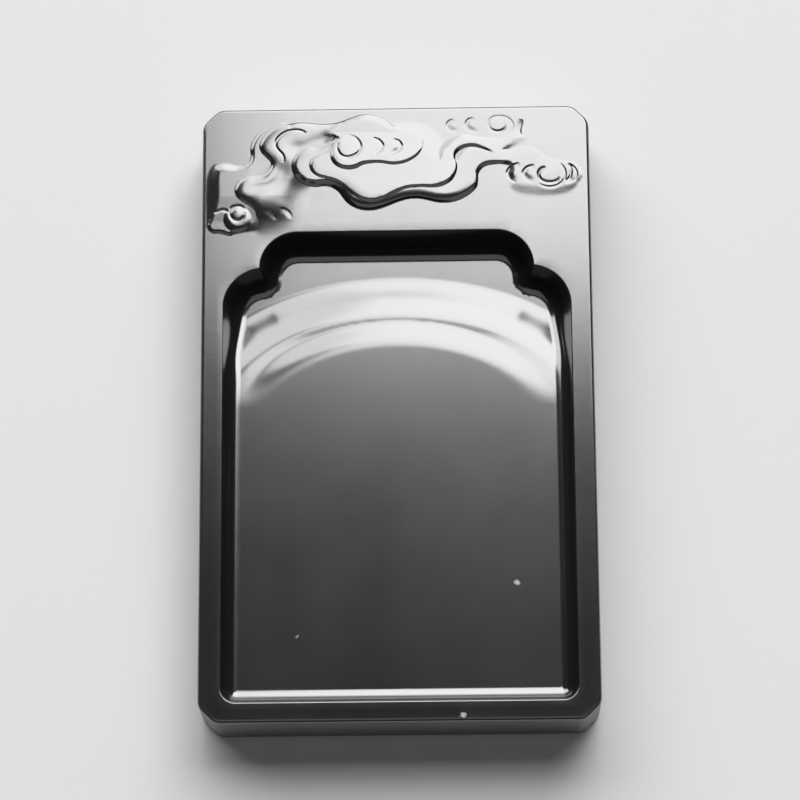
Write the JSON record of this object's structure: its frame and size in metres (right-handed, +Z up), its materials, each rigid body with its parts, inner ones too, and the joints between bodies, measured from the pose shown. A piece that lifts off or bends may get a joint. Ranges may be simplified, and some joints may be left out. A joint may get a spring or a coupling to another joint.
{
  "type": "ink stone",
  "caption": "Flat rectangular ink stone with a sunken grinding floor that falls past an arched edge to a deeper ink pool, and cloud scrolls in low relief on the forehead.",
  "frame": {"origin": "middle of the flat underside", "axes": "+X across the stone, +Y along it from the grinding end to the carved forehead, +Z up out of the hollow"},
  "size_m": [0.13, 0.21, 0.0271],
  "materials": {
    "stone": "dark charcoal grey slate, finely sanded to a satin sheen"
  },
  "bodies": {
    "root": {"stone": "stone"}
  },
  "joints": []
}
